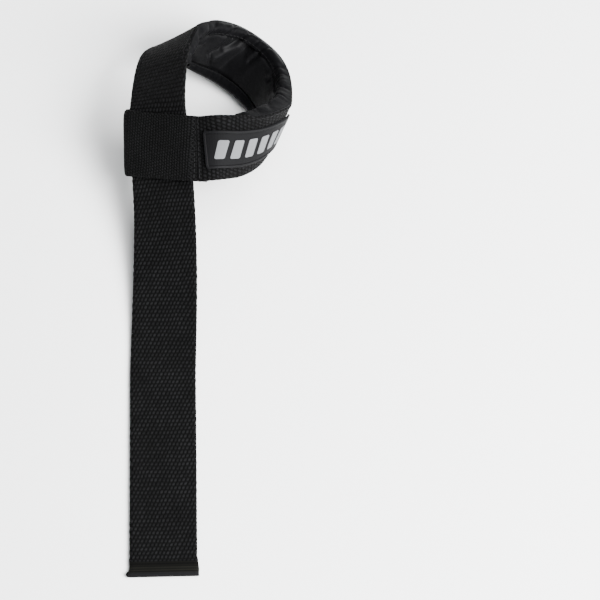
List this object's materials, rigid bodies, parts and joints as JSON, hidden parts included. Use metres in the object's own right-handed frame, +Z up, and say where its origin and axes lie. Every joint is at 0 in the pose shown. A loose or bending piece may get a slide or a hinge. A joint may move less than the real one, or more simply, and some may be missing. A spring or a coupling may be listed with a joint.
{
  "type": "weightlifting strap",
  "caption": "Woven lifting strap: a long tail runs through its own sewn eye and opens into a padded wrist ring with a rubber patch.",
  "frame": {"origin": "on the ground under the middle of the whole strap", "axes": "+Y along the strap from the tail's cut end to the wrist ring, +X to the side of the ring, +Z up from the ground"},
  "size_m": [0.1006, 0.344, 0.064],
  "materials": {
    "webbing": "matte black woven cotton webbing",
    "lining": "smooth black nylon lining over foam",
    "binding": "black folded tape, slightly puckered",
    "patch": "moulded dark grey rubber with a satin sheen"
  },
  "bodies": {
    "root": {"strap_webbing": "webbing", "wrist_pad": "lining", "pad_binding_upper": "binding", "pad_binding_lower": "binding", "rubber_patch": "patch"}
  },
  "joints": []
}
